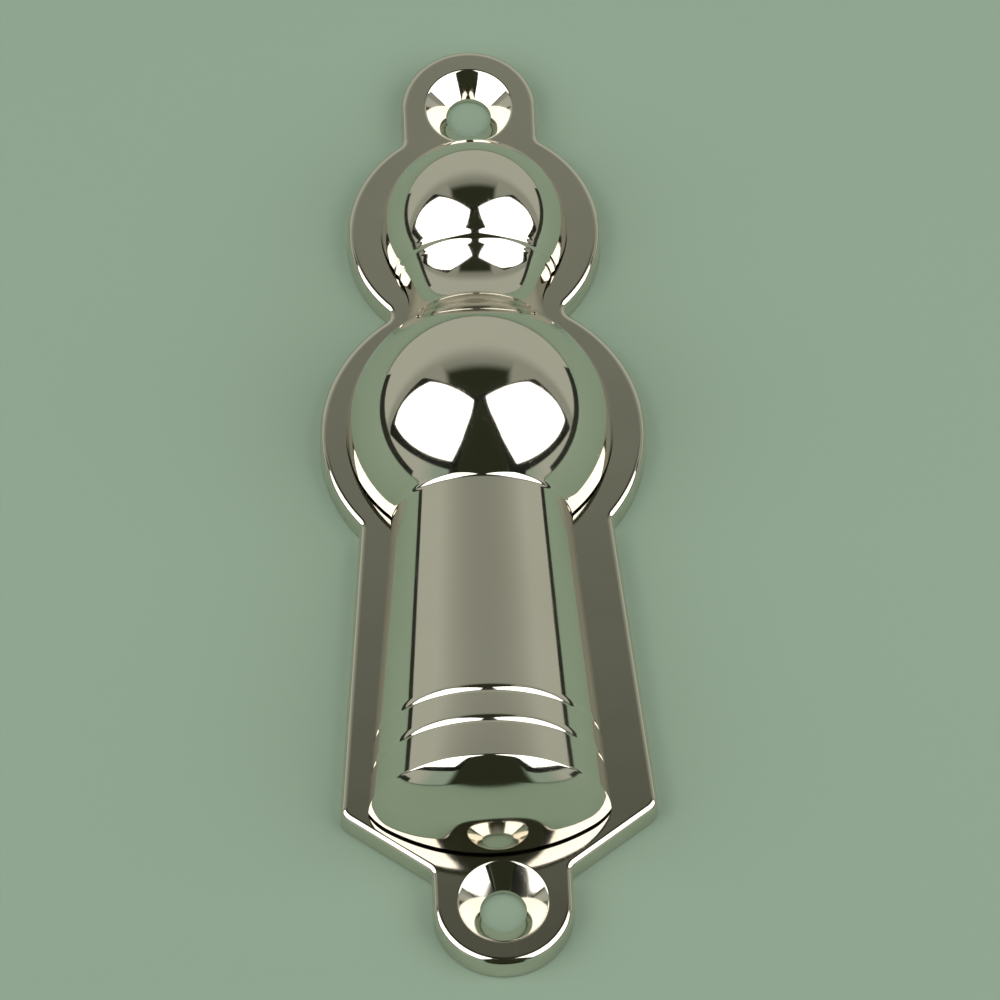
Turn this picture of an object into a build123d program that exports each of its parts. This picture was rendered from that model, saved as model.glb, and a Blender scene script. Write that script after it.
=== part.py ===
from build123d import *
import os
from math import atan2, cos, degrees, radians, sin, sqrt, tan

os.makedirs("parts", exist_ok=True)

# Keyhole escutcheon: a screw-on plate with a keyhole, and a half-turned cover that swings over it.
# Frame: X across the plate, Y up the plate, Z out of its polished face. The back face lies at Z 0,
# and the origin is midway between the two screw holes. Lengths are in millimetres, angles in degrees.

# Back plate
plate_thickness = 2.4
plate_edge_round = 0.6
hole_spacing = 80.0
tab_radius = 6.0
small_round_border = 2.9
large_round_border = 2.54
panel_start_drop = 9.0
panel_foot_border = 3.2
panel_foot_rise = 0.2
foot_slope = 0.742
foot_corner_round = 1.5
notch_round = 0.8

# Screw holes for countersunk wood screws
screw_hole_diameter = 4.0
screw_sink_diameter = 7.7
screw_sink_angle = 90.0

# Keyhole, in the middle of the large round
keyhole_head_diameter = 6.6
keyhole_slot_width = 3.2
keyhole_slot_drop = 8.4

# Swing cover: nearly half a turning, cut off flat just above its axis, with places measured from the pivot
pivot_drop = 13.0
rim_rise = 8.6
cover_turn = -0.8
rim_gap = 0.4
axis_drop = 0.7
small_ball_radius = 8.25
large_ball_radius = 11.66
ball_spacing = 20.65
skirt_top_radius = 7.0
skirt_rim_radius = 10.4
skirt_root_round = 0.7
rim_round = 0.4

# Neck: the small ball ends in a fine step between two shelves, then the cove runs to the large ball
neck_tilt = 30.0
neck_shelf_run = 0.45
neck_shelf_tilt = 17.0
neck_step_run = 0.2
neck_step_tilt = 52.0
cove_tilt = 30.0

# Bulged end of the skirt: a tight shoulder from the rim inwards, then a shallow dome to the axis
shoulder_round = 5.0
shoulder_start_tilt = 31.0
shoulder_end_tilt = 58.0

# Two incised rings round the skirt, each with a soft upper shoulder
ring_rises = (6.65, 3.55)
ring_depth = 0.17
ring_shoulder_run = 0.7
ring_wall_run = 0.15

# Hollow back of the cover
cover_wall = 1.7
end_wall = 2.2

# Pivot: a rivet fixed in the small ball, running in the plate
pivot_diameter = 3.0
pivot_seat_depth = 3.6
pivot_run_clearance = 0.06
pivot_play = 0.05
pad_diameter = 9.0
tail_diameter = 5.4
tail_angle = 90.0
tail_recess = 0.15

# Levels and places that follow from the sizes above
hole_height = hole_spacing / 2
pivot_height = hole_height - pivot_drop
large_round_height = pivot_height - ball_spacing
rim_level = plate_thickness + rim_gap
axis_level = rim_level - axis_drop
pad_level = plate_thickness + pivot_play
rim_place = hole_spacing - pivot_drop - rim_rise
skirt_slope = (skirt_rim_radius - skirt_top_radius) / (rim_place - ball_spacing)
tail_flare = tan(radians(tail_angle / 2))

# The cover's long axis points from the pivot to its rim, turned a little as it hangs
cover_direction = (sin(radians(cover_turn)), -cos(radians(cover_turn)), 0)
turning_plane = Plane((0, pivot_height, axis_level), x_dir=cover_direction, z_dir=(0, 0, 1))
turning_axis = Axis((0, pivot_height, axis_level), cover_direction)


def circle_half(radius, height):
    """Half width of a circle at a height above its centre."""
    return sqrt(radius**2 - height**2)


def skirt_radius(place):
    """Radius of the plain skirt at a place down the cover's axis."""
    return skirt_top_radius + skirt_slope * (place - ball_spacing)


def run_down(start, run, tilt):
    """Point that lies a run further down the axis, along a face that falls at a tilt."""
    return (start[0] + run, start[1] - run * tan(radians(tilt)))


# Back plate: one half of its outline, from the top tab to the bottom one, is mirrored
small_round_radius = small_ball_radius + small_round_border
large_round_radius = large_ball_radius + large_round_border
top_root = (tab_radius, pivot_height + circle_half(small_round_radius, tab_radius))
waist_rise = (small_round_radius**2 - large_round_radius**2 + ball_spacing**2) / (2 * ball_spacing)
waist = (circle_half(small_round_radius, waist_rise), pivot_height - waist_rise)
panel_start = (circle_half(large_round_radius, panel_start_drop), large_round_height - panel_start_drop)
panel_foot_half = skirt_rim_radius + panel_foot_border
panel_foot = (panel_foot_half, pivot_height - rim_place + panel_foot_rise)
bottom_root = (tab_radius, panel_foot[1] - foot_slope * (panel_foot_half - tab_radius))

with BuildPart() as back_plate:
    with BuildSketch() as outline:
        with BuildLine():
            top_end = CenterArc((0, hole_height), tab_radius, 90, -90)
            Line(top_end @ 1, top_root)
            ThreePointArc(top_root, (small_round_radius, pivot_height), waist)
            ThreePointArc(waist, (large_round_radius, large_round_height), panel_start)
            Polyline(panel_start, panel_foot, bottom_root, (tab_radius, -hole_height))
            bottom_end = CenterArc((0, -hole_height), tab_radius, 0, -90)
            Line(bottom_end @ 1, top_end @ 0)
        make_face()
        for notch in (top_root, waist, panel_start, bottom_root):
            fillet(outline.vertices().sort_by_distance(notch)[0], notch_round)
        fillet(outline.vertices().sort_by_distance(panel_foot)[0], foot_corner_round)
        mirror(about=Plane.YZ)
    extrude(amount=plate_thickness)
    fillet(back_plate.faces().sort_by(Axis.Z)[-1].edges(), plate_edge_round)
    with Locations((0, hole_height, plate_thickness), (0, -hole_height, plate_thickness)):
        CounterSinkHole(
            screw_hole_diameter / 2,
            screw_sink_diameter / 2,
            counter_sink_angle=screw_sink_angle,
        )
    with BuildSketch():
        with Locations((0, large_round_height)):
            Circle(keyhole_head_diameter / 2)
            Rectangle(keyhole_slot_width, keyhole_slot_drop, align=(Align.CENTER, Align.MAX))
        with Locations((0, large_round_height - keyhole_slot_drop)):
            Circle(keyhole_slot_width / 2)
    extrude(amount=plate_thickness, mode=Mode.SUBTRACT)
    with Locations(Plane((0, pivot_height, 0), x_dir=(1, 0, 0), z_dir=(0, 0, -1))):
        CounterSinkHole(
            pivot_diameter / 2 + pivot_run_clearance,
            tail_diameter / 2 + tail_recess * tail_flare + pivot_run_clearance,
            counter_sink_angle=tail_angle,
        )

back_plate.part.label = "back_plate"
export_step(back_plate.part, "parts/back_plate.step")

# Swing cover: small ball, stepped neck, cove, large ball and ringed skirt, turned and hollowed
ball_end = (small_ball_radius * sin(radians(neck_tilt)), small_ball_radius * cos(radians(neck_tilt)))
step_start = run_down(ball_end, neck_shelf_run, neck_shelf_tilt)
step_end = run_down(step_start, neck_step_run, neck_step_tilt)
neck_end = run_down(step_end, neck_shelf_run, neck_shelf_tilt)
cove_lean = radians(cove_tilt)
neck_gap = ball_spacing - neck_end[0]
neck_lift = neck_gap * sin(cove_lean) - neck_end[1] * cos(cove_lean)
cove_radius = (neck_gap**2 + neck_end[1] ** 2 - large_ball_radius**2) / (2 * (large_ball_radius + neck_lift))
cove_center = (neck_end[0] + cove_radius * sin(cove_lean), neck_end[1] + cove_radius * cos(cove_lean))
cove_sweep = 90 + cove_tilt - degrees(atan2(cove_center[1], ball_spacing - cove_center[0]))
skirt_root = ball_spacing + circle_half(large_ball_radius, skirt_top_radius)
rim = (rim_place, skirt_rim_radius)
start_lean = radians(shoulder_start_tilt)
end_lean = radians(shoulder_end_tilt)
shoulder_place = rim_place - shoulder_round * sin(start_lean)
shoulder_center = (shoulder_place, skirt_rim_radius - shoulder_round * cos(start_lean))
dome_inset = shoulder_center[1] / cos(end_lean)
dome_radius = shoulder_round + dome_inset
dome_place = shoulder_place - dome_inset * sin(end_lean)
form_start = (-small_ball_radius, 0)
form_length = small_ball_radius + dome_place + dome_radius

with BuildPart() as swing_cover:
    with BuildSketch(turning_plane) as turning:
        with BuildLine():
            ball = CenterArc((0, 0), small_ball_radius, 180, -90 - neck_tilt)
            Polyline(ball @ 1, step_start, step_end, neck_end)
            cove = CenterArc(cove_center, cove_radius, 270 - cove_tilt, cove_sweep)
            Polyline(cove @ 1, (ball_spacing, 0), ball @ 0)
        make_face()
        with Locations((ball_spacing, 0)):
            Circle(large_ball_radius)
        with BuildLine():
            start = (ball_spacing, skirt_radius(ball_spacing))
            for ring_rise in ring_rises:
                crease = rim_place - ring_rise
                shoulder = crease - ring_shoulder_run
                ring_foot = crease + ring_wall_run
                band = Line(start, (shoulder, skirt_radius(shoulder)))
                dip = TangentArc(band @ 1, (crease, skirt_radius(crease) - ring_depth), tangent=band % 1)
                wall = Line(dip @ 1, (ring_foot, skirt_radius(ring_foot)))
                start = wall @ 1
            Line(start, rim)
            tilt_run = shoulder_end_tilt - shoulder_start_tilt
            CenterArc(shoulder_center, shoulder_round, 90 - shoulder_start_tilt, -tilt_run)
            dome = CenterArc((dome_place, 0), dome_radius, 90 - shoulder_end_tilt, shoulder_end_tilt - 90)
            Polyline(dome @ 1, (ball_spacing, 0), (ball_spacing, skirt_radius(ball_spacing)))
        make_face()
        with Locations(form_start):
            Rectangle(form_length, large_ball_radius, align=(Align.MIN, Align.MIN), mode=Mode.INTERSECT)
        fillet(turning.vertices().sort_by_distance((skirt_root, skirt_top_radius))[0], skirt_root_round)
        fillet(turning.vertices().sort_by_distance(rim)[0], rim_round)
    revolve(axis=turning_axis, revolution_arc=180)
    with BuildSketch(turning_plane):
        with Locations((ball_spacing, 0)):
            Circle(large_ball_radius - cover_wall)
        hollow_end = rim_place - end_wall
        Polygon(
            (ball_spacing, 0),
            (hollow_end, 0),
            (hollow_end, skirt_radius(hollow_end) - cover_wall),
            (ball_spacing, skirt_radius(ball_spacing) - cover_wall),
            align=None,
        )
        with Locations(form_start):
            Rectangle(form_length, large_ball_radius, align=(Align.MIN, Align.MIN), mode=Mode.INTERSECT)
    revolve(axis=turning_axis, revolution_arc=180, mode=Mode.SUBTRACT)
    split(bisect_by=Plane.XY.offset(rim_level), keep=Keep.TOP)
    with BuildSketch(Plane((0, pivot_height, pad_level))):
        Circle(pad_diameter / 2)
    extrude(amount=rim_level - pad_level)
    with BuildSketch(Plane((0, pivot_height, pad_level))):
        Circle(pivot_diameter / 2)
    extrude(amount=pivot_seat_depth, mode=Mode.SUBTRACT)

swing_cover.part.label = "swing_cover"
export_step(swing_cover.part, "parts/swing_cover.step")

# Pivot rivet: a straight pin with a countersunk tail, sunk just below the plate's back
with BuildPart() as pivot_rivet:
    with BuildSketch(Plane((0, pivot_height, 0), x_dir=(1, 0, 0), z_dir=(0, -1, 0))):
        Polygon(
            (0, tail_recess),
            (tail_diameter / 2, tail_recess),
            (pivot_diameter / 2, tail_recess + (tail_diameter - pivot_diameter) / 2 / tail_flare),
            (pivot_diameter / 2, pad_level + pivot_seat_depth),
            (0, pad_level + pivot_seat_depth),
            align=None,
        )
    revolve(axis=Axis((0, pivot_height, 0), (0, 0, 1)))

pivot_rivet.part.label = "pivot_rivet"
export_step(pivot_rivet.part, "parts/pivot_rivet.step")
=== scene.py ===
"""Looks of a covered keyhole escutcheon.

A tabbed plate that is screwed to a door carries a half-turned cover, which swings on a rivet to bare the
keyhole. Plate and cover are dense meshes in polished nickel, drawn from the same sizes as the solids; the
rivet keeps its solid and gets a brass finish. Sizes in the classes are millimetres and degrees.
"""

import logging
import math
from collections.abc import Sequence
from dataclasses import dataclass
from enum import Enum
from typing import Any

import bmesh
import bpy
from mathutils import Matrix, Vector


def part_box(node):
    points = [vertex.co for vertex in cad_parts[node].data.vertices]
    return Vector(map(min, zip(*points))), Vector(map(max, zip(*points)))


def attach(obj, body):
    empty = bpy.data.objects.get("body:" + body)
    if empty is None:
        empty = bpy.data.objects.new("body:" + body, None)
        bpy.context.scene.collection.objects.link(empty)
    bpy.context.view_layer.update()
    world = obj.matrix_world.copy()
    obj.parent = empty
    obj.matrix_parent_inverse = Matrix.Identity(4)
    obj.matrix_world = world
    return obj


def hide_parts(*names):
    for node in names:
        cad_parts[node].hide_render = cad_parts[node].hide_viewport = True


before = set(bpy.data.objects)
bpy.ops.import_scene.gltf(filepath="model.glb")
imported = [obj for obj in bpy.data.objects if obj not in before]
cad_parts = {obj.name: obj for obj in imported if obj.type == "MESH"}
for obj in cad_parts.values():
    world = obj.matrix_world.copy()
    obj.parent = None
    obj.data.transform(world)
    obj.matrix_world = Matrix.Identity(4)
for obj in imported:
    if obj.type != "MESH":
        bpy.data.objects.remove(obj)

log = logging.getLogger("escutcheon")

MM = 0.001
FULL_TURN = 360.0
# Length of one ring of the Wave Texture node at a scale of 1
WAVE_PERIOD = math.pi / 10
Point = tuple[float, float]
Range = tuple[float, float]
Place = tuple[float, float, float]
Color = tuple[float, float, float]
Edge = list[tuple[Point, Point]]
Loop = list[bmesh.types.BMVert]


class Body(Enum):
    """Moving bodies of the part."""

    PLATE = "plate"
    COVER = "cover"


class Slot(Enum):
    """Material slots of the record."""

    PLATE = "plate_nickel"
    COVER = "cover_nickel"
    RIVET = "rivet_brass"


class Term:
    """Output of a node that takes part in arithmetic, where each operation adds a Math node."""

    def __init__(self, graph: "Graph", socket: bpy.types.NodeSocket | None) -> None:
        """Keep the graph and the socket."""
        self.graph = graph
        self.socket = socket

    def other(self, name: str) -> "Term":
        """Give another output of the same node."""
        return Term(self.graph, self.socket.node.outputs[name])

    def __add__(self, value: "Term | float") -> "Term":
        """Add."""
        return self.graph.math("ADD", self, value)

    __radd__ = __add__

    def __sub__(self, value: "Term | float") -> "Term":
        """Subtract."""
        return self.graph.math("SUBTRACT", self, value)

    def __rsub__(self, value: float) -> "Term":
        """Subtract from a number."""
        return self.graph.math("SUBTRACT", value, self)

    def __mul__(self, value: "Term | float") -> "Term":
        """Multiply."""
        return self.graph.math("MULTIPLY", self, value)

    __rmul__ = __mul__

    def __truediv__(self, value: "Term | float") -> "Term":
        """Divide."""
        return self.graph.math("DIVIDE", self, value)

    def __mod__(self, value: "Term | float") -> "Term":
        """Remainder of a division."""
        return self.graph.math("MODULO", self, value)

    def step(self, low: float, high: float) -> "Term":
        """Rise smoothly from 0 to 1 between two values.

        Args:
            low: Value where the rise starts.
            high: Value where it ends.

        Returns:
            The smooth step.
        """
        return self.graph.node(
            "ShaderNodeMapRange",
            {"interpolation_type": "SMOOTHSTEP"},
            {"Value": self, "From Min": low, "From Max": high},
        )


class Graph:
    """A node tree with one way to add a node."""

    def __init__(self, tree: bpy.types.NodeTree) -> None:
        """Start from an empty tree."""
        self.tree = tree
        tree.nodes.clear()

    def node(
        self,
        kind: str,
        settings: dict[str, Any] | None = None,
        inputs: dict[str | int, Any] | None = None,
        output: str | int = 0,
    ) -> Term:
        """Add a node.

        Args:
            kind: The node's type.
            settings: Properties of the node, set first.
            inputs: A value or a Term for each input socket, by name or place.
            output: The output that is given back.

        Returns:
            That output, with no socket where the node has none.
        """
        added = self.tree.nodes.new(kind)
        for name, value in (settings or {}).items():
            setattr(added, name, value)
        for key, value in (inputs or {}).items():
            if isinstance(value, Term):
                self.tree.links.new(value.socket, added.inputs[key])
            else:
                added.inputs[key].default_value = value
        return Term(self, added.outputs[output] if added.outputs else None)

    def math(self, operation: str, *values: Term | float) -> Term:
        """Add a Math node on up to three values."""
        return self.node("ShaderNodeMath", {"operation": operation}, dict(enumerate(values)))

    def mix(self, share: Term | float, first: "Term | Color", second: "Term | Color") -> Term:
        """Mix two colours by a share."""
        start, end = (color if isinstance(color, Term) else (*color, 1.0) for color in (first, second))
        return self.node("ShaderNodeMix", {"data_type": "RGBA"}, {0: share, 6: start, 7: end}, output=2)

    def noise(self, place: Term, scale: float, detail: float) -> Term:
        """Add a noise pattern."""
        return self.node("ShaderNodeTexNoise", inputs={"Vector": place, "Scale": scale, "Detail": detail})

    def surface(self, inputs: dict[str | int, Any]) -> None:
        """End a material with a Principled shader."""
        shader = self.node("ShaderNodeBsdfPrincipled", inputs=inputs)
        self.node("ShaderNodeOutputMaterial", inputs={"Surface": shader})


def new_material(name: str) -> tuple[bpy.types.Material, Graph]:
    """Make a material with an empty node tree.

    Args:
        name: The material's name.

    Returns:
        The material and its graph.
    """
    material = bpy.data.materials.new(name)
    material.use_nodes = True
    return material, Graph(material.node_tree)


@dataclass(frozen=True)
class PolishedNickel:
    """Warm nickel plate, buffed by hand, with soft waves, hairlines, a faint haze and a few pits.

    A range holds the two values of a pattern between which its effect rises from none to full.
    """

    name: str
    tint: Color = (0.74, 0.70, 0.62)
    dull_tint: Color = (0.66, 0.62, 0.54)
    roughness: float = 0.055
    wave_size: float = 7.0
    wave_depth: float = 0.012
    wave_detail: float = 1.0
    haze_scale: float = 0.6
    haze_detail: float = 4.0
    haze_range: Range = (0.35, 0.75)
    haze_dulling: float = 0.35
    haze_roughness: float = 0.03
    hairline_size: float = 0.25
    hairline_stretch: float = 14.0
    hairline_detail: float = 2.0
    hairline_range: Range = (0.58, 0.78)
    hairline_roughness: float = 0.05
    pit_spacing: float = 4.0
    pit_radius: float = 0.13
    pit_core: float = 0.5
    pit_dulling: float = 0.6
    pit_roughness: float = 0.3

    def material(self) -> bpy.types.Material:
        """Make the finish.

        Returns:
            The material.
        """
        material, graph = new_material(self.name)
        place = graph.node("ShaderNodeTexCoord", output="Object")
        wave_scale = 1 / (self.wave_size * MM)
        waves = graph.noise(place, wave_scale, self.wave_detail)
        haze = graph.noise(place, self.haze_scale * wave_scale, self.haze_detail).step(*self.haze_range)
        stretch = (1.0, 1 / self.hairline_stretch, 1.0)
        grain = graph.node("ShaderNodeMapping", inputs={"Vector": place, "Scale": stretch})
        strands = graph.noise(grain, 1 / (self.hairline_size * MM), self.hairline_detail)
        hairlines = strands.step(*self.hairline_range)
        cells = graph.node(
            "ShaderNodeTexVoronoi", inputs={"Vector": place, "Scale": 1 / (self.pit_spacing * MM)}
        )
        pit_edge = self.pit_radius / self.pit_spacing
        pits = 1 - cells.step(self.pit_core * pit_edge, pit_edge)
        relief = graph.node(
            "ShaderNodeBump",
            inputs={"Strength": 1.0, "Distance": self.wave_depth * MM, "Height": waves},
        )
        dulling = haze * self.haze_dulling + pits * self.pit_dulling
        wear = haze * self.haze_roughness + hairlines * self.hairline_roughness + pits * self.pit_roughness
        graph.surface({
            "Base Color": graph.mix(dulling, self.tint, self.dull_tint),
            "Metallic": 1.0,
            "Roughness": self.roughness + wear,
            "Normal": relief,
        })
        return material


@dataclass(frozen=True)
class TurnedBrass:
    """Dull turned brass for the rivet."""

    name: str
    tint: Color = (0.72, 0.55, 0.27)
    dark_tint: Color = (0.45, 0.32, 0.15)
    tarnish_size: float = 1.1111
    tarnish_detail: float = 3.0
    tarnish_range: Range = (0.4, 0.8)
    roughness: float = 0.28
    ring_pitch: float = 0.754
    ring_wobble: float = 1.5
    ring_roughness: float = 0.1

    def material(self, center: Vector) -> bpy.types.Material:
        """Make the finish.

        Args:
            center: A point on the rivet's axis, in metres.

        Returns:
            The material.
        """
        material, graph = new_material(self.name)
        place = graph.node("ShaderNodeTexCoord", output="Object")
        middle = graph.node("ShaderNodeMapping", inputs={"Vector": place, "Location": -center})
        ring_scale = WAVE_PERIOD / (self.ring_pitch * MM)
        rings = graph.node(
            "ShaderNodeTexWave",
            {"wave_type": "RINGS", "rings_direction": "Z"},
            {"Vector": middle, "Scale": ring_scale, "Distortion": self.ring_wobble},
            output="Fac",
        )
        stains = graph.noise(place, 1 / (self.tarnish_size * MM), self.tarnish_detail)
        graph.surface({
            "Base Color": graph.mix(stains.step(*self.tarnish_range), self.tint, self.dark_tint),
            "Metallic": 1.0,
            "Roughness": self.roughness + rings * self.ring_roughness,
        })
        return material


def matte(name: str, tint: Color, roughness: float, gloss: float = 0.5) -> bpy.types.Material:
    """Make a plain paint for the stage.

    Args:
        name: The material's name.
        tint: Its colour.
        roughness: Its roughness.
        gloss: Strength of its reflection.

    Returns:
        The material.
    """
    material, graph = new_material(name)
    graph.surface({"Base Color": (*tint, 1.0), "Roughness": roughness, "Specular IOR Level": gloss})
    return material


def arc(center: Point, radius: float, start: float, end: float, step: float) -> list[Point]:
    """Lay points along an arc.

    Args:
        center: The arc's centre.
        radius: The arc's radius.
        start: Angle of the first point.
        end: Angle of the last point.
        step: Widest angle between neighbours.

    Returns:
        The points, both ends included.
    """
    count = max(2, math.ceil(abs(end - start) / step))
    angles = [math.radians(start + (end - start) * i / count) for i in range(count + 1)]
    return [(center[0] + radius * math.cos(a), center[1] + radius * math.sin(a)) for a in angles]


def bearing(start: Point, end: Point) -> float:
    """Give the angle of the direction from one point to another, from 0 up to a full turn."""
    return math.degrees(math.atan2(end[1] - start[1], end[0] - start[0])) % FULL_TURN


def half_width(radius: float, height: float) -> float:
    """Give the half width of a circle at a height above its centre."""
    return math.sqrt(radius**2 - height**2)


def soften(points: Sequence[Point], reach: float, steps: int) -> list[Point]:
    """Round the inner corners of an open line with short parabolas.

    Args:
        points: The line's corners, ends included.
        reach: How far a rounding runs along both sides of its corner.
        steps: Steps along each rounding.

    Returns:
        The softened line.
    """
    line = [points[0]]
    for before, corner, after in zip(points, points[1:], points[2:]):
        middle = Vector(corner)
        start = middle + (Vector(before) - middle).normalized() * reach
        end = middle + (Vector(after) - middle).normalized() * reach
        for i in range(steps + 1):
            share = i / steps
            line.append(tuple(start.lerp(middle, share).lerp(middle.lerp(end, share), share)))
    return line + [points[-1]]


def run_down(start: Point, run: float, tilt: float) -> Point:
    """Give the point a run further down the axis, along a face that falls at a tilt."""
    return start[0] + run, start[1] - run * math.tan(math.radians(tilt))


def fillet_center(corner: Vector, back: Vector, ahead: Vector, radius: float) -> Point:
    """Give the centre of a fillet between two straight edges that leave a corner."""
    half = back.angle(ahead) / 2
    return tuple(corner + (back + ahead).normalized() * (radius / math.sin(half)))


def add_object(name: str, mesh: bpy.types.Mesh) -> bpy.types.Object:
    """Link a mesh into the scene as an object at the origin.

    Args:
        name: The object's name.
        mesh: Its mesh.

    Returns:
        The object.
    """
    thing = bpy.data.objects.new(name, mesh)
    bpy.context.scene.collection.objects.link(thing)
    return thing


def add_sheet(
    name: str, spots: Sequence[Vector], faces: Sequence[tuple[int, ...]], paint: bpy.types.Material
) -> bpy.types.Object:
    """Make a stage piece from flat faces.

    Args:
        name: The object's name.
        spots: Places of its corners, in metres.
        faces: The corners of each face.
        paint: Its material.

    Returns:
        The object.
    """
    mesh = bpy.data.meshes.new(name)
    mesh.from_pydata(spots, [], faces)
    mesh.materials.append(paint)
    return add_object(name, mesh)


def add_loop(bm: bmesh.types.BMesh, points: Sequence[Point], level: float) -> Loop:
    """Add the vertices of a flat loop.

    Args:
        bm: The mesh that takes them.
        points: Places in the plane, in millimetres.
        level: Height of the plane, in millimetres.

    Returns:
        The vertices in order.
    """
    return [bm.verts.new((x * MM, y * MM, level * MM)) for x, y in points]


def bridge(bm: bmesh.types.BMesh, loops: Sequence[Loop]) -> None:
    """Close the strips between neighbours in a row of closed loops.

    Args:
        bm: The mesh that holds the loops.
        loops: The loops in order, with as many vertices each.
    """
    for low, high in zip(loops, loops[1:]):
        for i in range(len(low)):
            j = (i + 1) % len(low)
            bm.faces.new((low[i], low[j], high[j], high[i]))


def loop_edges(bm: bmesh.types.BMesh, loop: Loop) -> list[bmesh.types.BMEdge]:
    """Give the edges of a closed loop, and make those that are missing."""
    pairs = zip(loop, loop[1:] + loop[:1])
    return [bm.edges.get(pair) or bm.edges.new(pair) for pair in pairs]


def fill(bm: bmesh.types.BMesh, loops: Sequence[Loop], up: float) -> None:
    """Fill a flat face that has holes.

    Args:
        bm: The mesh.
        loops: Its outline and its holes.
        up: 1 for a face that looks up, -1 for one that looks down.
    """
    edges = [edge for loop in loops for edge in loop_edges(bm, loop)]
    bmesh.ops.triangle_fill(bm, use_beauty=True, edges=edges, normal=(0.0, 0.0, up))


def finish_mesh(name: str, bm: bmesh.types.BMesh, sharp_angle: float) -> bpy.types.Mesh:
    """Turn a closed mesh outwards and shade it.

    Args:
        name: The mesh's name.
        bm: The closed mesh, which is freed.
        sharp_angle: Edges that turn by more than this stay sharp.

    Returns:
        The mesh.
    """
    bmesh.ops.recalc_face_normals(bm, faces=bm.faces)
    if bm.calc_volume(signed=True) < 0:
        bmesh.ops.reverse_faces(bm, faces=bm.faces)
    mesh = bpy.data.meshes.new(name)
    bm.to_mesh(mesh)
    bm.free()
    mesh.shade_smooth()
    mesh.set_sharp_from_angle(angle=math.radians(sharp_angle))
    return mesh


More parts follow.
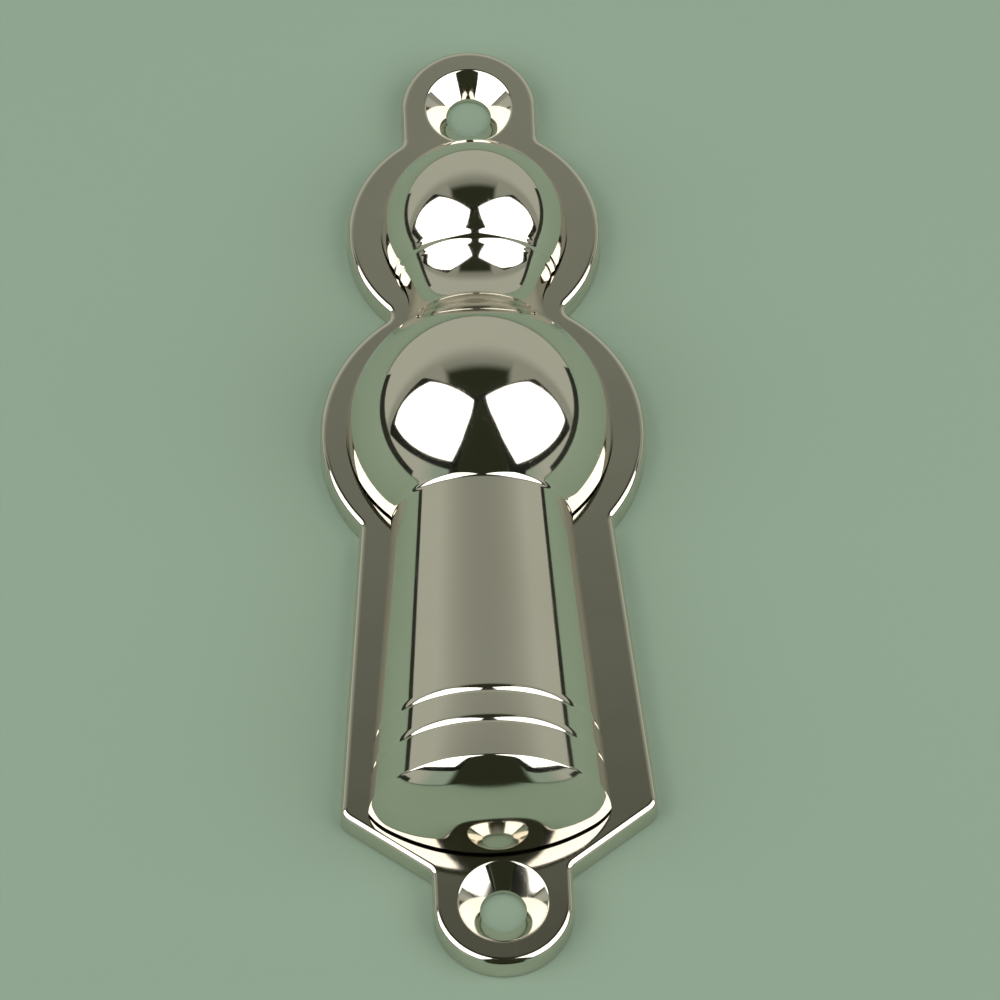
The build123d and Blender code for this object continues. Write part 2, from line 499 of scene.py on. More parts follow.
@dataclass
class BackPlate:
    """Plate with a tab at each end, two rounds and a flared panel, all with a rounded front edge."""

    thickness: float = 2.4
    edge_round: float = 0.6
    hole_height: float = 40.0
    tab_radius: float = 6.0
    small_round_radius: float = 11.15
    small_round_height: float = 27.0
    large_round_radius: float = 14.2
    large_round_height: float = 6.35
    panel_start_drop: float = 9.0
    panel_foot: Point = (13.6, -31.2)
    foot_slope: float = 0.742
    foot_corner_round: float = 1.5
    notch_round: float = 0.8
    screw_hole_radius: float = 2.0
    screw_sink_radius: float = 3.85
    sink_angle: float = 90.0
    sink_lip_round: float = 0.3
    keyhole_head_radius: float = 3.3
    keyhole_slot_half: float = 1.6
    keyhole_slot_drop: float = 8.4
    pivot_hole_radius: float = 1.56
    pivot_sink_radius: float = 2.91
    arc_step: float = 2.0
    hole_step: float = 4.0
    notch_step: float = 6.0
    lip_step: float = 9.0
    edge_steps: int = 10
    support: float = 0.03
    sharp_angle: float = 30.0

    def notch_arc(self, center: Point, start: float, end: float) -> Edge:
        """Give points and outward normals along a notch, whose centre lies outside the plate."""
        radius = self.notch_round
        points = arc(center, radius, start, end, self.notch_step)
        return [(p, ((center[0] - p[0]) / radius, (center[1] - p[1]) / radius)) for p in points]

    def bulge_arc(self, center: Point, radius: float, start: float, end: float) -> Edge:
        """Give points and outward normals along an arc whose centre lies inside the plate."""
        points = arc(center, radius, start, end, self.arc_step)
        return [(p, ((p[0] - center[0]) / radius, (p[1] - center[1]) / radius)) for p in points]

    def chain(self, stretches: Sequence[Edge]) -> Edge:
        """Join stretches of the edge, and leave out a start that lies on the end before it.

        Args:
            stretches: Points and outward normals of each stretch.

        Returns:
            Points and outward normals of the whole line.
        """
        line = list(stretches[0])
        for stretch in stretches[1:]:
            meets = math.dist(line[-1][0], stretch[0][0]) < self.support
            line += stretch[1:] if meets else stretch
        return line

    def outline(self) -> Edge:
        """Lay out the plate's edge.

        Returns:
            Points and outward normals, once round.
        """
        notch = self.notch_round
        small, large = (0.0, self.small_round_height), (0.0, self.large_round_height)
        small_reach, large_reach = self.small_round_radius + notch, self.large_round_radius + notch
        tab_notch = (self.tab_radius + notch, small[1] + half_width(small_reach, self.tab_radius + notch))
        spacing = small[1] - large[1]
        waist_rise = (small_reach**2 - large_reach**2 + spacing**2) / (2 * spacing)
        waist = (half_width(small_reach, waist_rise), small[1] - waist_rise)

        drop = self.panel_start_drop
        start = Vector((half_width(self.large_round_radius, drop), large[1] - drop))
        foot = Vector(self.panel_foot)
        side = (foot - start).normalized()
        side_out = Vector((-side.y, side.x))
        base = start + notch * side_out - Vector(large)
        along = -base.dot(side) + math.sqrt(base.dot(side) ** 2 - base.length_squared + large_reach**2)
        panel_notch = base + along * side + Vector(large)

        down = Vector((0.0, -1.0))
        slope = Vector((-1.0, -self.foot_slope)).normalized()
        slope_out = Vector((-slope.y, slope.x))
        root = Vector((self.tab_radius, foot.y - self.foot_slope * (foot.x - self.tab_radius)))

        corner = fillet_center(foot, -side, slope, self.foot_corner_round)
        foot_notch = fillet_center(root, -slope, down, notch)
        origin = (0.0, 0.0)
        side_angle, slope_angle = bearing(origin, side_out), bearing(origin, slope_out) - FULL_TURN
        panel = tuple(panel_notch)
        right = self.chain([
            self.bulge_arc((0.0, self.hole_height), self.tab_radius, 90.0, 0.0),
            self.notch_arc(tab_notch, 180.0, bearing(tab_notch, small)),
            self.bulge_arc(
                small, self.small_round_radius, bearing(small, tab_notch), bearing(small, waist) - FULL_TURN
            ),
            self.notch_arc(waist, bearing(waist, small), bearing(waist, large)),
            self.bulge_arc(
                large, self.large_round_radius, bearing(large, waist), bearing(large, panel) - FULL_TURN
            ),
            self.notch_arc(panel, bearing(panel, large), 180.0 + side_angle),
            self.bulge_arc(corner, self.foot_corner_round, side_angle, slope_angle),
            self.notch_arc(foot_notch, 180.0 + slope_angle, 180.0),
            self.bulge_arc((0.0, -self.hole_height), self.tab_radius, 0.0, -90.0),
        ])
        left = [((-p[0], p[1]), (-n[0], n[1])) for p, n in reversed(right[1:-1])]
        return right + left

    def keyhole(self) -> list[Point]:
        """Lay out the keyhole.

        Returns:
            Its points, once round.
        """
        head, slot = self.keyhole_head_radius, self.keyhole_slot_half
        reach = math.degrees(math.asin(slot / head))
        points = arc((0.0, self.large_round_height), head, -90.0 + reach, 270.0 - reach, self.arc_step)
        end = (0.0, self.large_round_height - self.keyhole_slot_drop)
        return points + arc(end, slot, 180.0, FULL_TURN, self.notch_step)

    def hole(self, bm: bmesh.types.BMesh, height: float, section: Sequence[Point]) -> list[Loop]:
        """Turn the wall of a round hole.

        Args:
            bm: The mesh that takes it.
            height: Place of the hole up the plate.
            section: Radius and level of each ring, from the front to the back.

        Returns:
            The rings.
        """
        rings = []
        for radius, level in section:
            circle = arc((0.0, height), radius, 0.0, FULL_TURN, self.hole_step)[:-1]
            rings.append(add_loop(bm, circle, level))
        bridge(bm, rings)
        return rings

    def sink_depth(self, wide: float, narrow: float) -> float:
        """Give the depth in which a sink narrows from one radius to another."""
        return (wide - narrow) / math.tan(math.radians(self.sink_angle / 2))

    def sink_section(self) -> list[Point]:
        """Lay out a screw hole, whose sink has a softened lip.

        Returns:
            Radius and level of each ring, from the front to the back.
        """
        lip, wall = self.sink_lip_round, self.sink_angle / 2
        setback = lip * math.tan(math.radians((90.0 - wall) / 2))
        center = (self.screw_sink_radius + setback, self.thickness - lip)
        depth = self.sink_depth(self.screw_sink_radius, self.screw_hole_radius)
        throat = (self.screw_hole_radius, self.thickness - depth)
        lead = (center[0] + self.support, self.thickness)
        soft_lip = arc(center, lip, 90.0, 180.0 - wall, self.lip_step)
        return [lead] + soft_lip + [throat, (self.screw_hole_radius, 0.0)]

    def build(self) -> bpy.types.Object:
        """Make the plate.

        Returns:
            Its object.
        """
        bm = bmesh.new()
        outline = self.outline()
        sections = [(0.0, 0.0)]
        for i in range(self.edge_steps + 1):
            turn = math.radians(90.0 * i / self.edge_steps)
            level = self.thickness - self.edge_round * (1 - math.sin(turn))
            sections.append((self.edge_round * (1 - math.cos(turn)), level))
        sections.append((self.edge_round + self.support, self.thickness))
        rings = []
        for inset, level in sections:
            points = [(p[0] - inset * n[0], p[1] - inset * n[1]) for p, n in outline]
            rings.append(add_loop(bm, points, level))
        bridge(bm, rings)
        keyhole = [add_loop(bm, self.keyhole(), level) for level in (self.thickness, 0.0)]
        bridge(bm, keyhole)
        heights = (self.hole_height, -self.hole_height)
        holes = [self.hole(bm, height, self.sink_section()) for height in heights]
        pivot_depth = self.sink_depth(self.pivot_sink_radius, self.pivot_hole_radius)
        pivot = [(self.pivot_hole_radius, self.thickness), (self.pivot_hole_radius, pivot_depth)]
        holes.append(self.hole(bm, self.small_round_height, pivot + [(self.pivot_sink_radius, 0.0)]))
        holes.append(keyhole)
        fill(bm, [rings[-1]] + [hole[0] for hole in holes], 1.0)
        fill(bm, [rings[0]] + [hole[-1] for hole in holes], -1.0)
        return add_object("plate_body", finish_mesh("plate_body", bm, self.sharp_angle))

    def dress(self, plate: bpy.types.Object, finish: PolishedNickel) -> None:
        """Give the plate its finish and its place in the frame.

        Args:
            plate: The plate.
            finish: Its metal.
        """
        plate.data.materials.append(finish.material())
        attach(plate, Body.PLATE.value)
        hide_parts("back_plate")


class TurningTree:
    """Geometry Nodes tree that sweeps a profile over an axis, down to a flat cut a little above it."""

    INPUTS: tuple[tuple[str, str], ...] = (
        ("Profile", "NodeSocketGeometry"),
        ("Profile Points", "NodeSocketInt"),
        ("Sweep Points", "NodeSocketInt"),
        ("Place", "NodeSocketVector"),
        ("Turn", "NodeSocketFloat"),
        ("Axis Drop", "NodeSocketFloat"),
        ("Inward", "NodeSocketBool"),
        ("Finish", "NodeSocketMaterial"),
    )
    MERGE_DISTANCE = 1e-6

    def __init__(self) -> None:
        """Build the tree."""
        tree = bpy.data.node_groups.new("half_turning", "GeometryNodeTree")
        self.sockets = {
            name: tree.interface.new_socket(name=name, in_out="INPUT", socket_type=kind)
            for name, kind in self.INPUTS
        }
        tree.interface.new_socket(name="Turned", in_out="OUTPUT", socket_type="NodeSocketGeometry")
        self.tree = tree
        graph = Graph(tree)
        given = graph.node("NodeGroupInput")
        columns = given.other("Sweep Points")
        grid = graph.node(
            "GeometryNodeMeshGrid",
            inputs={"Vertices X": given.other("Profile Points"), "Vertices Y": columns},
        )
        index = graph.node("GeometryNodeInputIndex")
        column = index % columns
        row = (index - column) / columns
        point = graph.node(
            "GeometryNodeSampleIndex",
            {"data_type": "FLOAT_VECTOR"},
            {"Geometry": given, "Value": graph.node("GeometryNodeInputPosition"), "Index": row},
        )
        place = graph.node("ShaderNodeSeparateXYZ", inputs={0: point})
        radius = place.other("Y")
        drop = given.other("Axis Drop")
        cut = graph.math("ARCSINE", graph.math("MINIMUM", drop / radius, 1.0))
        angle = cut + column / (columns - 1) * (math.pi - cut * 2)
        across, up = radius * graph.math("COSINE", angle), radius * graph.math("SINE", angle)
        swept = graph.node("ShaderNodeCombineXYZ", inputs={0: place, 1: across, 2: up - drop})
        moved = graph.node("GeometryNodeSetPosition", inputs={"Geometry": grid, "Position": swept})
        spin = graph.node("ShaderNodeCombineXYZ", inputs={2: given.other("Turn")})
        set_down = graph.node(
            "GeometryNodeTransform",
            inputs={"Geometry": moved, "Translation": given.other("Place"), "Rotation": spin},
        )
        closed = graph.node(
            "GeometryNodeMergeByDistance", inputs={"Geometry": set_down, "Distance": self.MERGE_DISTANCE}
        )
        inward = given.other("Inward")
        faced = graph.node("GeometryNodeFlipFaces", inputs={"Mesh": closed, "Selection": inward})
        smooth = graph.node("GeometryNodeSetShadeSmooth", inputs={0: faced})
        real = graph.node("GeometryNodeRealizeInstances", inputs={"Geometry": smooth})
        dressed = graph.node(
            "GeometryNodeSetMaterial", inputs={"Geometry": real, "Material": given.other("Finish")}
        )
        graph.node("NodeGroupOutput", inputs={0: dressed})

    def mesh(
        self,
        profile: Sequence[Point],
        sweep_points: int,
        place: Vector,
        turn: float,
        drop: float,
        inward: bool,
        finish: bpy.types.Material,
    ) -> bpy.types.Mesh:
        """Sweep one profile.

        Args:
            profile: Place along the axis and radius of each point, in millimetres.
            sweep_points: Points from one side of the cut to the other.
            place: The point of the cut above the axis' start, in metres.
            turn: Angle of the axis about the vertical.
            drop: Depth of the axis below the flat cut, in millimetres.
            inward: Whether the faces look at the axis.
            finish: The material.

        Returns:
            A plain mesh.
        """
        line = bpy.data.meshes.new("turning_profile")
        line.from_pydata([(x * MM, r * MM, 0.0) for x, r in profile], [], [])
        holder = add_object("turning_profile", line)
        modifier = holder.modifiers.new("half_turning", "NODES")
        modifier.node_group = self.tree
        values = {
            "Profile Points": len(profile),
            "Sweep Points": sweep_points,
            "Place": place,
            "Turn": math.radians(turn),
            "Axis Drop": drop * MM,
            "Inward": inward,
            "Finish": finish,
        }
        for name, value in values.items():
            modifier[self.sockets[name].identifier] = value
        graph = bpy.context.evaluated_depsgraph_get()
        swept = bpy.data.meshes.new_from_object(holder.evaluated_get(graph))
        holder.modifiers.remove(modifier)
        bpy.data.objects.remove(holder)
        bpy.data.meshes.remove(line)
        return swept


@dataclass
class SwingCover:
    """Turned hollow cover: two balls, the cove between them, and a ringed skirt with a bulged end."""

    pivot_height: float = 27.0
    rim_level: float = 2.8
    turn: float = -0.8
    axis_drop: float = 0.7
    small_ball_radius: float = 8.25
    large_ball_radius: float = 11.66
    ball_spacing: float = 20.65
    neck_tilt: float = 30.0
    neck_shelf_run: float = 0.45
    neck_shelf_tilt: float = 17.0
    neck_step_run: float = 0.2
    neck_step_tilt: float = 52.0
    cove_tilt: float = 30.0
    skirt_top_radius: float = 7.0
    skirt_rim_radius: float = 10.4
    skirt_root_round: float = 0.7
    rim_place: float = 58.4
    rim_round: float = 0.4
    shoulder_round: float = 5.0
    shoulder_start_tilt: float = 31.0
    shoulder_end_tilt: float = 58.0
    ring_rises: tuple[float, ...] = (6.65, 3.55)
    ring_depth: float = 0.17
    ring_shoulder_run: float = 0.7
    ring_wall_run: float = 0.15
    wall: float = 1.7
    end_wall: float = 2.2
    pad_radius: float = 4.5
    pad_level: float = 2.45
    pin_radius: float = 1.5
    pin_depth: float = 3.6
    ball_step: float = 1.5
    hollow_step: float = 3.0
    bore_step: float = 4.5
    fillet_step: float = 6.0
    soft_lead: float = 0.2
    step_soft: float = 0.12
    crease_soft: float = 0.06
    soft_steps: int = 5
    sweep_points: int = 145
    sharp_angle: float = 35.0

    @property
    def skirt_slope(self) -> float:
        """Rise of the skirt's radius along the axis."""
        return (self.skirt_rim_radius - self.skirt_top_radius) / (self.rim_place - self.ball_spacing)

    def skirt_radius(self, place: float) -> float:
        """Give the plain skirt's radius at a place down the axis."""
        return self.skirt_top_radius + self.skirt_slope * (place - self.ball_spacing)

    def meet_skirt(self, center: Point, reach: float, lift: float) -> Point:
        """Find where a circle meets a line beside the skirt.

        Args:
            center: Place and radius of the circle's centre.
            reach: The circle's radius.
            lift: How far the line lies outside the skirt.

        Returns:
            Place and radius of the point on the rim side.
        """
        slope = self.skirt_slope
        base = self.skirt_radius(center[0]) + lift * math.hypot(1.0, slope) - center[1]
        square = 1 + slope**2
        run = (-slope * base + math.sqrt((slope * base) ** 2 - square * (base**2 - reach**2))) / square
        return center[0] + run, center[1] + base + slope * run

    def neck(self) -> list[Point]:
        """Lay out the fine step in which the small ball ends, with a shelf on both sides of it.

        Returns:
            Place and radius of its four corners.
        """
        lean = math.radians(self.neck_tilt)
        ball_end = (self.small_ball_radius * math.sin(lean), self.small_ball_radius * math.cos(lean))
        step_start = run_down(ball_end, self.neck_shelf_run, self.neck_shelf_tilt)
        step_end = run_down(step_start, self.neck_step_run, self.neck_step_tilt)
        neck_end = run_down(step_end, self.neck_shelf_run, self.neck_shelf_tilt)
        return [ball_end, step_start, step_end, neck_end]

    def cove(self, start: Point) -> tuple[Point, float]:
        """Find the cove, which leaves the neck at its own tilt and runs into the large ball.

        Args:
            start: The end of the neck.

        Returns:
            The cove's centre and its radius.
        """
        lean = math.radians(self.cove_tilt)
        gap = self.ball_spacing - start[0]
        lift = gap * math.sin(lean) - start[1] * math.cos(lean)
        reach = gap**2 + start[1] ** 2 - self.large_ball_radius**2
        radius = reach / (2 * (self.large_ball_radius + lift))
        return (start[0] + radius * math.sin(lean), start[1] + radius * math.cos(lean)), radius

    def ring(self, rise: float) -> list[Point]:
        """Lay out one incised ring: a shoulder that dips to a crease, and the short wall after it.

        Args:
            rise: How far the crease lies above the rim.

        Returns:
            Place and radius of each point.
        """
        crease = self.rim_place - rise
        brink = crease - self.ring_shoulder_run
        start = Vector((brink, self.skirt_radius(brink)))
        end = Vector((crease, self.skirt_radius(crease) - self.ring_depth))
        lean = math.degrees(math.atan(self.skirt_slope))
        chord = end - start
        dip = lean - math.degrees(math.atan2(chord.y, chord.x))
        radius = chord.length / (2 * math.sin(math.radians(dip)))
        across = math.radians(lean - 90.0)
        center = (start.x + radius * math.cos(across), start.y + radius * math.sin(across))
        shoulder = arc(center, radius, lean + 90.0, lean + 90.0 - 2 * dip, self.hollow_step)
        places = (crease + self.ring_wall_run, crease + 2 * self.ring_wall_run)
        ends = [(place, self.skirt_radius(place)) for place in places]
        return shoulder[:-2] + soften(shoulder[-2:] + ends, self.crease_soft, self.soft_steps)

    def bulged_end(self) -> list[Point]:
        """Lay out the end: a tight rim, a round shoulder and a shallow dome that reaches the axis.

        Returns:
            Place and radius of each point.
        """
        start, end = math.radians(self.shoulder_start_tilt), math.radians(self.shoulder_end_tilt)
        shoulder = (
            self.rim_place - self.shoulder_round * math.sin(start),
            self.skirt_rim_radius - self.shoulder_round * math.cos(start),
        )
        rim = self.meet_skirt(shoulder, self.shoulder_round - self.rim_round, -self.rim_round)
        inset = shoulder[1] / math.cos(end)
        dome = (shoulder[0] - inset * math.sin(end), 0.0)
        lean = math.degrees(math.atan(self.skirt_slope))
        turn = 90.0 - self.shoulder_end_tilt
        points = arc(rim, self.rim_round, 90.0 + lean, bearing(shoulder, rim), self.fillet_step)
        points += arc(shoulder, self.shoulder_round, bearing(shoulder, rim), turn, self.ball_step)[1:]
        return points + arc(dome, self.shoulder_round + inset, turn, 0.0, self.ball_step)[1:]

    def trim(self, points: Sequence[Point]) -> list[Point]:
        """Cut a profile off where it comes down to the flat back.

        Args:
            points: Place and radius of each point.

        Returns:
            The part of it above the back, ends included.
        """
        level = self.axis_drop
        kept = []
        for a, b in zip(points, points[1:]):
            if (a[1] > level) != (b[1] > level):
                share = (level - a[1]) / (b[1] - a[1])
                kept.append((a[0] + share * (b[0] - a[0]), level))
            if b[1] > level:
                kept.append(b)
        return kept

    def outer_profile(self) -> list[Point]:
        """Lay out the turned form from the pole of the small ball to the middle of the bulged end.

        Returns:
            Place along the axis and radius of each point.
        """
        small, large = (0.0, 0.0), (self.ball_spacing, 0.0)
        neck = self.neck()
        cove, cove_radius = self.cove(neck[-1])
        lean = math.degrees(math.atan(self.skirt_slope))
        root = self.meet_skirt(large, self.large_ball_radius + self.skirt_root_round, self.skirt_root_round)
        ball_end = 90.0 - self.neck_tilt + math.degrees(self.soft_lead / self.small_ball_radius)
        cove_start = 270.0 - self.cove_tilt + math.degrees(self.soft_lead / cove_radius)

        points = arc(small, self.small_ball_radius, 180.0, ball_end, self.ball_step)
        hollow = arc(cove, cove_radius, cove_start, bearing(cove, large), self.hollow_step)
        points += soften([points[-1], *neck, hollow[0]], self.step_soft, self.soft_steps)[1:] + hollow[1:]
        start, end = bearing(large, cove), bearing(large, root)
        ball = arc(large, self.large_ball_radius, start, end, self.ball_step)
        fillet = arc(root, self.skirt_root_round, bearing(root, large), 270.0 + lean, self.fillet_step)
        points += ball[1:] + fillet[1:]
        for rise in self.ring_rises:
            points += self.ring(rise)
        return self.trim(points + self.bulged_end())

    def inner_profile(self) -> list[Point]:
        """Lay out the hollow from its start in the large ball to its flat end.

        Returns:
            Place along the axis and radius of each point.
        """
        radius = self.large_ball_radius - self.wall
        center = (self.ball_spacing, 0.0)
        meet = self.meet_skirt(center, radius, -self.wall / math.hypot(1.0, self.skirt_slope))
        end = self.rim_place - self.end_wall
        points = arc(center, radius, 180.0, bearing(center, meet), self.hollow_step)
        return self.trim(points + [(end, self.skirt_radius(end) - self.wall), (end, 0.0)])

    def underside(self, bm: bmesh.types.BMesh) -> None:
        """Close the flat back, with the bearing pad and the pin's bore in the small ball.

        Args:
            bm: The mesh, open at the back.
        """
        rims = [edge for edge in bm.edges if edge.is_boundary]
        center = (0.0, self.pivot_height)
        section = [
            (self.pad_radius, self.rim_level),
            (self.pad_radius, self.pad_level),
            (self.pin_radius, self.pad_level),
            (self.pin_radius, self.pad_level + self.pin_depth),
        ]
        rings = []
        for radius, level in section:
            circle = arc(center, radius, 0.0, FULL_TURN, self.bore_step)[:-1]
            rings.append(add_loop(bm, circle, level))
        bridge(bm, rings)
        bm.faces.new(rings[-1])
        edges = rims + loop_edges(bm, rings[0])
        bmesh.ops.triangle_fill(bm, use_beauty=True, edges=edges, normal=(0.0, 0.0, -1.0))

    def build(self, tree: TurningTree, finish: PolishedNickel) -> bpy.types.Object:
        """Make the cover.

        Args:
            tree: The tree that sweeps its profiles.
            finish: The metal.

        Returns:
            Its object.
        """
        material = finish.material()
        place = Vector((0.0, self.pivot_height, self.rim_level)) * MM
        bm = bmesh.new()
        # The tree's axis is X, so a quarter turn points it down the plate
        turn = self.turn - 90.0
        for profile, inward in ((self.outer_profile(), False), (self.inner_profile(), True)):
            swept = tree.mesh(profile, self.sweep_points, place, turn, self.axis_drop, inward, material)
            bm.from_mesh(swept)
            bpy.data.meshes.remove(swept)
        self.underside(bm)
        mesh = finish_mesh("cover_shell", bm, self.sharp_angle)
        mesh.materials.append(material)
        return add_object("cover_shell", mesh)

    def dress(self, cover: bpy.types.Object) -> None:
        """Give the cover its place in the frame.

        Args:
            cover: The cover.
        """
        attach(cover, Body.COVER.value)
        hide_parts("swing_cover")


@dataclass
class Rivet:
    """Pivot rivet, which keeps its solid."""

    node: str = "pivot_rivet"

    def dress(self, finish: TurnedBrass) -> None:
        """Give the rivet its brass.

        Args:
            finish: The metal.
        """
        low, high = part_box(self.node)
        material = finish.material((low + high) / 2)
        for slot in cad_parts[self.node].material_slots:
            slot.material = material


@dataclass(frozen=True)
class Floor:
    """Plain pale floor under the plate."""

    half_side: float = 3000.0
    drop: float = 0.1
    tint: Color = (0.245, 0.33, 0.255)
    roughness: float = 0.9
    gloss: float = 0.2

    def build(self) -> None:
        """Make the floor."""
        paint = matte("floor_paint", self.tint, self.roughness, self.gloss)
        sides = ((-1, -1), (1, -1), (1, 1), (-1, 1))
        spots = [Vector((x * self.half_side, y * self.half_side, -self.drop)) * MM for x, y in sides]
        add_sheet("floor", spots, [(0, 1, 2, 3)], paint)


@dataclass(frozen=True)
class Softbox:
    """Square lamp over the part, one corner near the zenith, behind a dark mask with a bulged window.

    The window, the lamp and the mask are given as shares of the ways from the inner corner to the back one
    and to the front one.
    """

    name: str
    inner_corner: Place
    back_corner: Place
    front_corner: Place
    radiance: float = 2.3
    tint: Color = (1.0, 0.985, 0.96)
    window: tuple[Point, ...] = ((0.02, 0.04), (0.83, 0.03), (1.04, 0.6), (0.98, 0.91), (0.02, 0.98))
    window_bulge: float = 0.055
    window_steps: int = 12
    lamp_reach: Range = (-0.025, 1.06)
    mask_reach: Range = (-0.054, 1.1)
    mask_gap: float = 2.0
    mask_tint: Color = (0.02, 0.02, 0.018)
    mask_roughness: float = 0.9

    def build(self) -> None:
        """Make the lamp and its mask."""
        corners = (self.inner_corner, self.back_corner, self.front_corner)
        inner, back, front = (Vector(corner) * MM for corner in corners)
        to_back, to_front = back - inner, front - inner
        across = to_back.normalized()
        away = to_front.cross(across).normalized()
        if away.z < 0:
            away = -away
        low, high = self.lamp_reach
        light = bpy.data.lights.new(self.name, "AREA")
        light.shape = "RECTANGLE"
        light.size = to_back.length * (high - low)
        light.size_y = to_front.length * (high - low)
        light.energy = self.radiance * math.pi * light.size * light.size_y
        light.color = self.tint
        lamp = bpy.data.objects.new(self.name, light)
        pose = Matrix((across, away.cross(across), away)).transposed().to_4x4()
        pose.translation = inner + (to_back + to_front) * (low + high) / 2
        lamp.matrix_world = pose
        lamp.visible_camera = False
        bpy.context.scene.collection.objects.link(lamp)
        face = inner - away * self.mask_gap * MM
        self.mask([face + to_back * u + to_front * v for u, v in self.opening()])

    def opening(self) -> list[Point]:
        """Lay out the mask's two loops.

        Returns:
            The window's points, and then as many points round the mask's outer edge.
        """
        window = []
        for (u, v), (end_u, end_v) in zip(self.window, self.window[1:] + self.window[:1]):
            run_u, run_v = end_u - u, end_v - v
            for step in range(self.window_steps):
                share = step / self.window_steps
                bulge = self.window_bulge * 4 * share * (1 - share)
                window.append((u + run_u * share + run_v * bulge, v + run_v * share - run_u * bulge))
        low, high = self.mask_reach
        middle, half = (low + high) / 2, (high - low) / 2
        edge = []
        for u, v in window:
            stretch = half / max(abs(u - middle), abs(v - middle))
            edge.append((middle + (u - middle) * stretch, middle + (v - middle) * stretch))
        return window + edge

    def mask(self, spots: list[Vector]) -> None:
        """Hang the dark mask before the lamp.

        Args:
            spots: Points of its window, and then as many of its outer edge.
        """
        name = self.name + "_mask"
        count = len(spots) // 2
        nexts = [(i + 1) % count for i in range(count)]
        faces = [(i, n, n + count, i + count) for i, n in enumerate(nexts)]
        screen = add_sheet(name, spots, faces, matte(name, self.mask_tint, self.mask_roughness))
        screen.visible_camera = False


@dataclass(frozen=True)
class SideBoards:
    """Low dark boards that stand on the floor, far out at both sides of the part."""

    distance: float = 500.0
    front: float = -330.0
    back: float = 400.0
    height: float = 52.0
    tint: Color = (0.03, 0.032, 0.025)
    roughness: float = 0.9

    def build(self) -> None:
        """Stand the two boards up."""
        bottom = ((self.front, 0.0), (self.back, 0.0))
        top = ((self.back, self.height), (self.front, self.height))
        spots = [Vector((side * self.distance, y, z)) * MM for side in (-1, 1) for y, z in bottom + top]
        paint = matte("side_boards", self.tint, self.roughness)
        boards = add_sheet("side_boards", spots, [(0, 1, 2, 3), (4, 5, 6, 7)], paint)
        boards.visible_camera = False


@dataclass(frozen=True)
class Surround:
    """Room round the part: light behind it and at its sides, dark overhead.

    A range holds two angles away from the zenith, between which a light rises from none to full.
    """

    light: Color = (0.48, 0.50, 0.43)
    front_light: Color = (0.31, 0.40, 0.32)
    dim: Color = (0.027, 0.032, 0.017)
    near_back: Range = (24.0, 34.0)
    far_back: Range = (30.0, 56.0)
    near_share: float = 0.47
    side: Range = (21.0, 27.0)
    side_share: float = 0.65
    front: Range = (0.0, 40.0)
    front_edge: Range = (35.0, 55.0)

    def build(self) -> None:
        """Make the world."""
        world = bpy.data.worlds.new("room")
        world.use_nodes = True
        graph = Graph(world.node_tree)
        place = graph.node("ShaderNodeTexCoord", output="Generated")
        toward = graph.node("ShaderNodeSeparateXYZ", inputs={0: place})
        degree = math.degrees(1.0)
        tilt = graph.math("ARCTAN2", toward.other("Y"), toward.other("Z")) * degree
        aside = graph.math("ABSOLUTE", graph.math("ARCSINE", toward)) * degree
        ahead = graph.math("MAXIMUM", tilt * -1.0, 0.0)
        near, far = tilt.step(*self.near_back), tilt.step(*self.far_back)
        behind = near * self.near_share + far * (1 - self.near_share)
        beside = aside.step(*self.side)
        beside = graph.math("MAXIMUM", beside * self.side_share, beside * ahead.step(*self.front))
        before = ahead.step(*self.front) * (1 - aside.step(*self.front_edge))
        lit = graph.mix(before, self.light, self.front_light)
        color = graph.mix(graph.math("MAXIMUM", behind, beside), self.dim, lit)
        shade = graph.node("ShaderNodeBackground", inputs={"Color": color, "Strength": 1.0})
        graph.node("ShaderNodeOutputWorld", inputs={"Surface": shade})
        bpy.context.scene.world = world


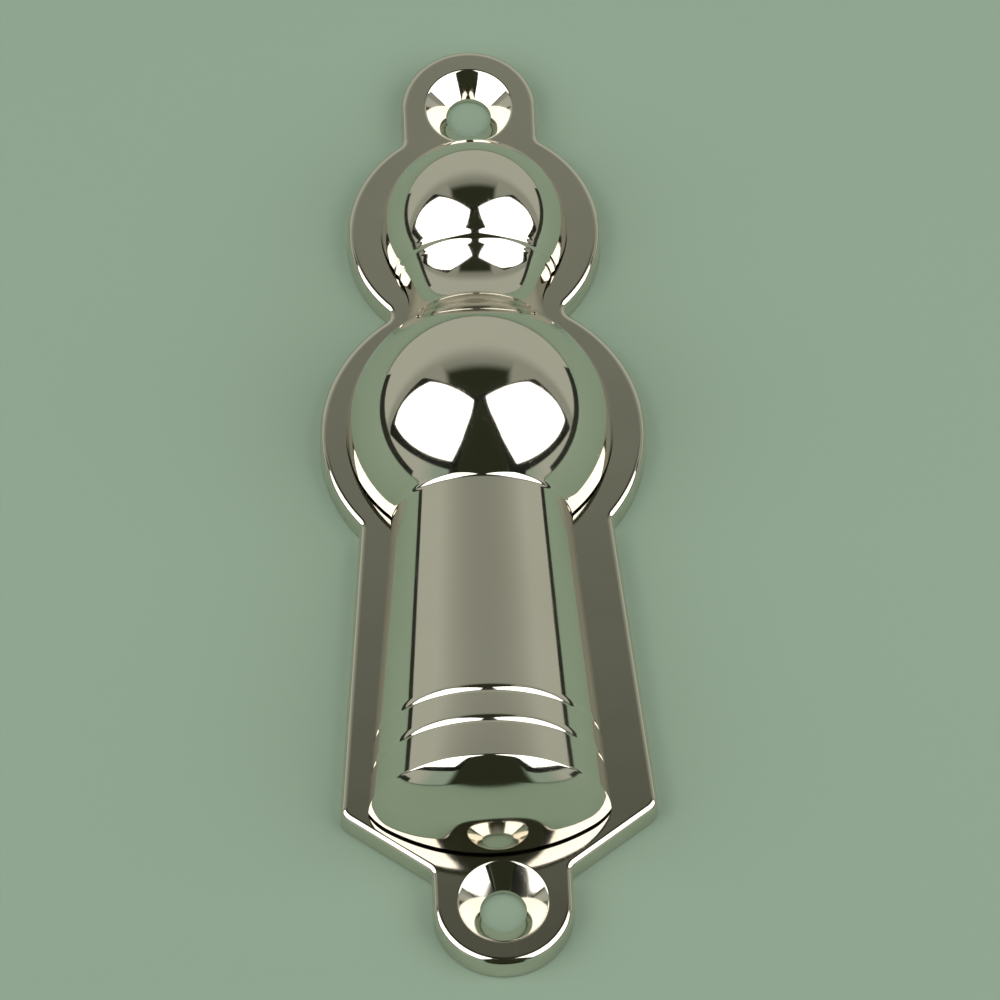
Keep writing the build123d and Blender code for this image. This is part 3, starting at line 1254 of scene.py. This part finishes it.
@dataclass(frozen=True)
class PhotoCamera:
    """Camera at the photograph's angle."""

    target: Place = (1.227, -0.647, 2.4)
    distance: float = 830.0
    elevation: float = 59.5
    yaw: float = -2.217
    pixels_per_mm: float = 11.536
    image_side: float = 1000.0
    sensor: float = 36.0
    clip_start: float = 50.0

    def build(self) -> None:
        """Make the camera and use it."""
        lens = bpy.data.cameras.new("photo_camera")
        lens.sensor_width = self.sensor
        lens.lens = self.sensor * self.pixels_per_mm * self.distance / self.image_side
        lens.clip_start = self.clip_start * MM
        camera = bpy.data.objects.new("photo_camera", lens)
        rise, swing = math.radians(self.elevation), math.radians(self.yaw)
        level = math.cos(rise)
        back = Vector((math.sin(swing) * level, -math.cos(swing) * level, math.sin(rise)))
        camera.location = (Vector(self.target) + self.distance * back) * MM
        camera.rotation_euler = back.to_track_quat("Z", "Y").to_euler()
        bpy.context.scene.collection.objects.link(camera)
        bpy.context.scene.camera = camera


def main() -> None:
    """Build the part, its floor, its light and the camera, and note both boxes."""
    logging.basicConfig(level=logging.INFO, format="%(name)s: %(message)s")
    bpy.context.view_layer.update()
    bpy.context.scene.view_settings.view_transform = "Standard"
    PhotoCamera().build()
    SideBoards().build()
    Surround().build()
    left = Softbox(
        "left_softbox",
        inner_corner=(-39.0, -17.0, 729.0),
        back_corner=(-611.0, 379.0, 610.0),
        front_corner=(-210.0, -404.0, 264.0),
    )
    right = Softbox(
        "right_softbox",
        inner_corner=(43.0, 21.0, 711.0),
        back_corner=(717.0, 357.0, 686.0),
        front_corner=(215.0, -363.0, 190.0),
    )
    for box in (left, right):
        box.build()
        log.info("lamp %s", box.name)
    Floor().build()

    plate_sizes = BackPlate()
    plate = plate_sizes.build()
    plate_sizes.dress(plate, PolishedNickel(Slot.PLATE.value))
    log.info("%s: %d faces", plate.name, len(plate.data.polygons))
    cover_sizes = SwingCover()
    cover = cover_sizes.build(TurningTree(), PolishedNickel(Slot.COVER.value))
    cover_sizes.dress(cover)
    log.info("%s: %d faces", cover.name, len(cover.data.polygons))
    Rivet().dress(TurnedBrass(Slot.RIVET.value))
    log.info("rivet dressed")


if __name__ == "__main__":
    main()
